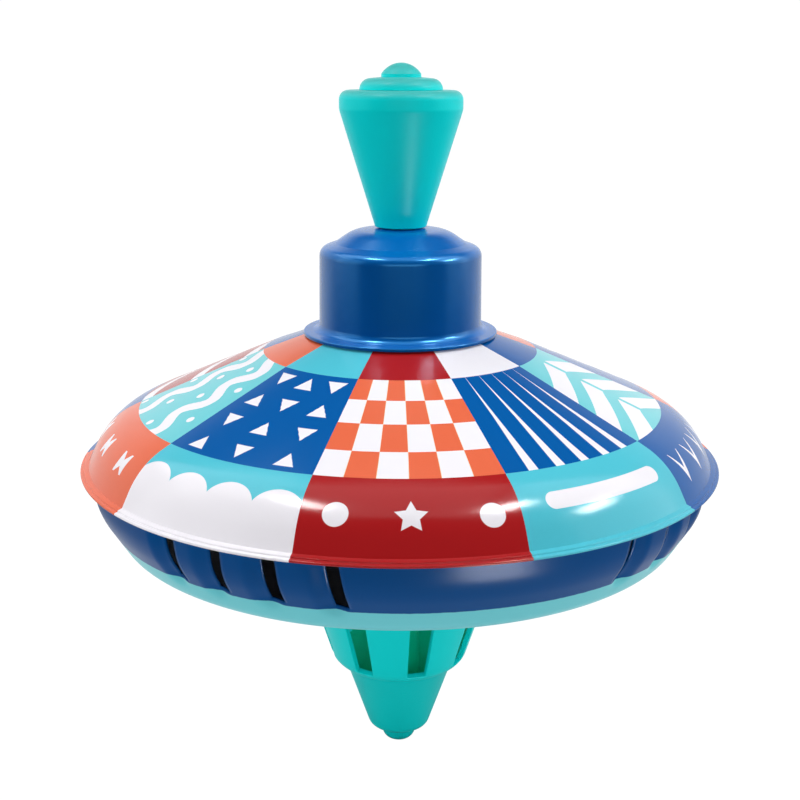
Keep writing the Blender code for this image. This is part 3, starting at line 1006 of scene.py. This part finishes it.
def foot(plastic, inside_shade_plastic):
    """The foot with its windows cut, and its boss with a socket for the pivot pin."""
    outside = snap_rows(foot_outline(), (WINDOW_BOTTOM,))
    share = (FOOT_TOP - WINDOW_TOP) / (FOOT_TOP - outside[1][1])
    outside.insert(1, tuple(Vector(outside[0]).lerp(Vector(outside[1]), share)))
    skirt_rows = next(i for i, point in enumerate(outside) if point[1] < NOSE_TOP + 0.5)
    inside = shifted_inward(outside, FOOT_WALL)[:skirt_rows][::-1]
    inside[-1] = (inside[-1][0], FOOT_TOP)
    socket, socket_bottom, boss_top = 2.3, FOOT_FLOOR + 1.0, bottom_of("thrust_washer") - 0.3
    boss = [(0.0, socket_bottom), (socket, socket_bottom), (socket, boss_top), (6.0, boss_top),
            (6.4, FOOT_FLOOR), (9.8, FOOT_FLOOR)]
    outline = boss + inside + outside
    first_outside = len(boss) + len(inside)
    last_row = max(i for i, point in enumerate(outside) if point[1] > WINDOW_BOTTOM - 0.01)
    columns = WINDOWS * COLUMNS_PER_WINDOW
    start = WINDOW_TURN - WINDOW_COLUMNS / 2 * 360.0 / columns

    def in_window(row, column):
        skirt_row = row - first_outside if row >= first_outside else first_outside - 2 - row
        return 1 <= skirt_row < last_row and column % COLUMNS_PER_WINDOW < WINDOW_COLUMNS

    bm, rings = revolve(outline, columns, start, skip=in_window)
    outer = rings[first_outside:]
    inner = rings[first_outside - 1::-1]
    for window in range(WINDOWS):
        left = window * COLUMNS_PER_WINDOW
        right = left + WINDOW_COLUMNS
        for row in range(1, last_row):
            for column in (left, right):
                bm.faces.new((outer[row][column], outer[row + 1][column],
                              inner[row + 1][column], inner[row][column]))
        for column in range(left, right):
            for row in (1, last_row):
                bm.faces.new((outer[row][column], outer[row][column + 1],
                              inner[row][column + 1], inner[row][column]))
    drop_loose(bm)
    bmesh.ops.recalc_face_normals(bm, faces=bm.faces)
    paint_foot_inside(bm)
    piece = finished_piece("foot_moulding", bm, [plastic, inside_shade_plastic], sharp=40.0)
    soften = piece.modifiers.new("Soften", "BEVEL")
    soften.width = 0.25 * MM
    soften.segments = 2
    soften.limit_method = "ANGLE"
    soften.angle_limit = math.radians(55)
    stand_in(piece, "foot", "foot")


def drive_rod(steel):
    """A flat strip with rounded edges, twisted once in each lead. It lies along X at its pin."""
    low, high = bottom_of("drive_rod"), top_of("drive_rod")
    pin_z = (bottom_of("grip_pin") + top_of("grip_pin")) / 2
    half_width, half_thickness, edge, lead = 2.5, 0.8, 0.35, 36.0
    section = rounded([(half_width, 0.0), (half_width, half_thickness, edge),
                       (-half_width, half_thickness, edge), (-half_width, -half_thickness, edge),
                       (half_width, -half_thickness, edge), (half_width, 0.0)], step=30.0)
    section.pop()                 # the outline ends where it began
    bm = bmesh.new()
    rings = []
    steps = round(high - low)
    for i in range(steps + 1):
        z = low + (high - low) * i / steps
        turn = Matrix.Rotation(math.tau * (z - pin_z) / lead, 2)
        ring = []
        for point in section:
            place = turn @ Vector(point)
            ring.append(bm.verts.new((place.x * MM, place.y * MM, z * MM)))
        rings.append(ring)
    for lower, upper in zip(rings, rings[1:]):
        for i in range(len(section)):
            j = (i + 1) % len(section)
            bm.faces.new((lower[i], lower[j], upper[j], upper[i]))
    bm.faces.new(rings[0][::-1])
    bm.faces.new(rings[-1])
    piece = finished_piece("twisted_rod", bm, [steel], sharp=50.0)
    stand_in(piece, "drive_rod", "handle")


def finish_inner_works(steel, brass, nylon):
    """Materials for the CAD nodes that stay."""
    lining = felt()
    finishes = {
        "pivot_pin": steel, "retaining_clip": steel, "centre_tube": steel, "hub_nut": steel,
        "grip_pin": steel, "stop_washer": steel, "stop_pin": steel, "thrust_washer": brass,
        "clip_washer": brass, "clutch_seat": nylon, "clutch_washer": nylon, "drive_nut": nylon,
        "pivot_bush": nylon, "clutch_lining": lining,
    }
    for node, material in finishes.items():
        frame["nodes"][node].material_slots[0].material = material


# --- Stage ---

LAMP_TARGET = Vector((0.0, 0.0, 0.11))      # metres


def seen_by_camera(tree):
    return Value(tree, tree.nodes.new("ShaderNodeLightPath").outputs["Is Camera Ray"])


def floor():
    """A pale floor that glows like a light table near the top and behind it."""
    bm = bmesh.new()
    bmesh.ops.create_grid(bm, x_segments=8, y_segments=8, size=12.0)
    surface = Surface("studio_floor")
    ring_radius, behind_from = 0.32, 0.10
    x, y, _ = surface.parts()
    away = hypot(x, y)
    near = overlap((ring_radius - away).ramp(8.0), away.ramp(14.0))
    behind = (y - behind_from).ramp(2.5)
    lit = join(near * 0.78, behind * 0.9) + 0.03
    seen = seen_by_camera(surface.tree)
    speck = surface.noise(60.0)
    surface.set(Base_Color=surface.mix(speck, (0.05, 0.05, 0.05), (0.06, 0.06, 0.06)),
                Roughness=0.9, Specular_IOR_Level=0.0, Emission_Color=(1.0, 1.0, 1.0, 1.0),
                Emission_Strength=lit * (1.0 - seen) + seen)
    piece = finished_piece("studio_floor", bm, [surface.material])


def world():
    """A white sweep behind the top, a dark room above and in front of it."""
    room = bpy.data.worlds.new("studio_room")
    bpy.context.scene.world = room
    room.use_nodes = True
    tree = room.node_tree
    background = tree.nodes["Background"]
    direction = tree.nodes.new("ShaderNodeTexCoord")
    split = tree.nodes.new("ShaderNodeSeparateXYZ")
    tree.links.new(direction.outputs["Generated"], split.inputs[0])
    sweep, elsewhere, backdrop = 0.95, 0.06, 1.02
    behind = (Value(tree, split.outputs["Y"]) + 0.10).ramp(2.2)
    low = (0.62 - Value(tree, split.outputs["Z"])).ramp(4.5)
    glow = behind * low * sweep + elsewhere
    seen = seen_by_camera(tree)
    feed(tree, glow * (1.0 - seen) + seen * backdrop, background.inputs["Strength"])
    background.inputs["Color"].default_value = (1.0, 1.0, 1.0, 1.0)


def softbox(name, place, width, height, radiance, diffuse=True):
    """A rectangular lamp aimed at the top, with its face's radiance.

    The camera doesn't see it, and without diffuse it only makes reflections.
    """
    light = bpy.data.lights.new(name, "AREA")
    light.shape = "RECTANGLE"
    light.size = width
    light.size_y = height
    light.energy = radiance * math.pi * width * height
    lamp = bpy.data.objects.new(name, light)
    lamp.location = place
    aim = LAMP_TARGET - Vector(place)
    lamp.rotation_euler = aim.to_track_quat("-Z", "Y").to_euler()
    lamp.visible_diffuse = diffuse
    lamp.visible_camera = False
    bpy.context.scene.collection.objects.link(lamp)


def lights():
    """Broad lamps for even light and small bright ones for highlights, in metres."""
    softbox("key_left", (-0.62, 0.22, 0.90), 0.60, 0.60, 2.6)
    softbox("key_right", (0.62, 0.03, 0.85), 0.60, 0.60, 2.6)
    softbox("overhead", (0.0, -0.10, 1.05), 0.72, 0.86, 1.95)
    softbox("front_fill", (0.10, -1.30, 0.36), 1.4, 0.40, 2.8)
    softbox("side_left", (-1.1, -0.20, 0.45), 0.9, 0.9, 1.5)
    softbox("side_right", (1.1, -0.05, 0.45), 0.9, 0.9, 1.5)
    softbox("spark_left", (-0.40, -0.20, 1.02), 0.26, 0.10, 80.0, diffuse=False)
    softbox("spark_right", (0.47, -0.26, 0.98), 0.26, 0.10, 90.0, diffuse=False)
    softbox("spark_far_right", (0.86, -0.13, 0.68), 0.24, 0.10, 70.0, diffuse=False)
    softbox("spark_under_hem", (0.105, -0.205, 0.004), 0.085, 0.028, 90.0, diffuse=False)


def camera():
    """Camera in front, a little over the rim, as near as the view's perspective asks."""
    distance, over_rim, pitch, roll, lens = 0.38585, 0.11568, 14.47, 0.225, 59.29
    data = bpy.data.cameras.new("camera")
    data.lens = lens
    data.sensor_width = 36.0
    data.clip_start = 0.01
    eye = bpy.data.objects.new("camera", data)
    place = Matrix.Translation((0.0, -distance, RIM_Z * MM + over_rim))
    tilt = Matrix.Rotation(math.radians(90.0 - pitch), 4, "X")
    eye.matrix_world = place @ tilt @ Matrix.Rotation(math.radians(roll), 4, "Z")
    bpy.context.scene.collection.objects.link(eye)
    bpy.context.scene.camera = eye


def build():
    teal = moulded_plastic("teal_plastic", TEAL, TEAL_TOP_SHADING)
    foot_teal = moulded_plastic("foot_plastic", FOOT_TEAL)
    # The same plastic, with painted shade for the inside of the foot
    inner_foot_shade = moulded_plastic("foot_plastic_inside_shade", TEAL_INSIDE_SHADE)
    nylon = moulded_plastic("natural_nylon", (0.78, 0.76, 0.70), roughness=0.45)
    steel = metal("bright_steel", (0.62, 0.62, 0.64), 0.25)
    brass = metal("brass", (0.72, 0.50, 0.20), 0.30)
    upper_shell()
    lower_shell()
    neck_housing(sprayed_paint("neck_paint", NECK_BLUE, NECK_LIT_TOP_BLUE))
    rod_guide(nylon)
    handle_grip(teal)
    handle_cap(teal)
    foot(foot_teal, inner_foot_shade)
    drive_rod(steel)
    finish_inner_works(steel, brass, nylon)
    floor()
    world()
    lights()
    camera()
    bpy.context.scene.view_settings.view_transform = "Standard"


build()
